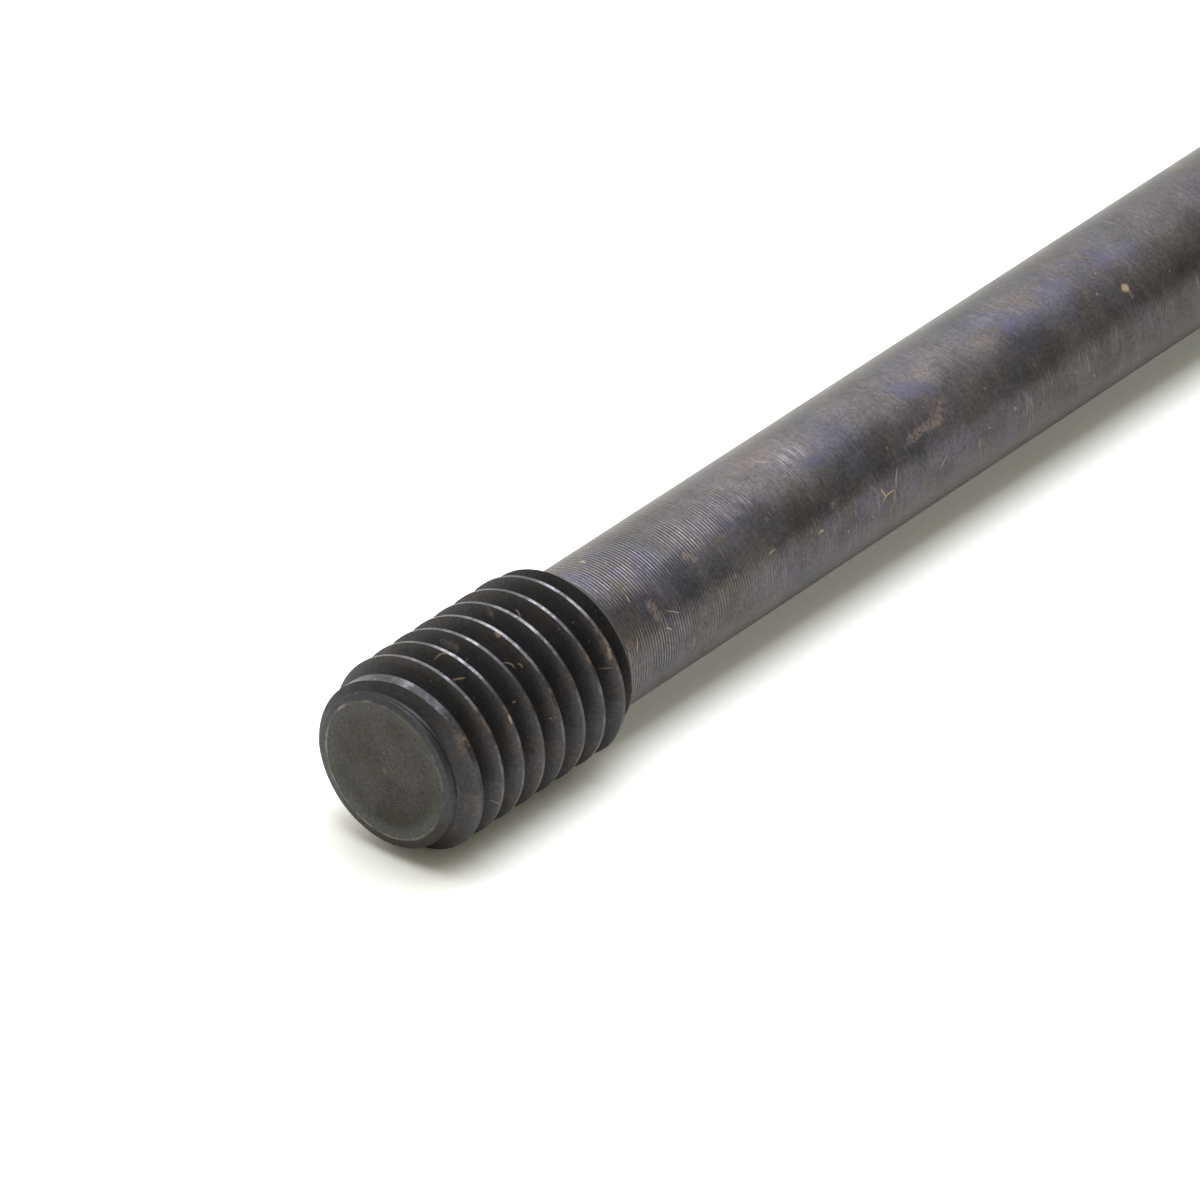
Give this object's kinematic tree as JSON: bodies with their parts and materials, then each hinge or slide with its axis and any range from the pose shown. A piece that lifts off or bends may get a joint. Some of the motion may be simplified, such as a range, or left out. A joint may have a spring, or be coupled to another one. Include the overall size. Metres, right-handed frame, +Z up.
{
  "type": "cylinder head stud",
  "caption": "Double-ended steel stud with a waisted plain shank, for clamping a cylinder head to a block with a nut.",
  "frame": {"origin": "on the ground under the middle of the stud, which lies on its two threads", "axes": "+X along the stud from the block end to the nut end, +Z up"},
  "size_m": [0.16, 0.0098, 0.0098],
  "materials": {
    "black_oxide_steel": "black oxide over turned steel, worn bright and lightly rusted on the thread crests"
  },
  "bodies": {
    "root": {"stud": "black_oxide_steel"}
  },
  "joints": []
}
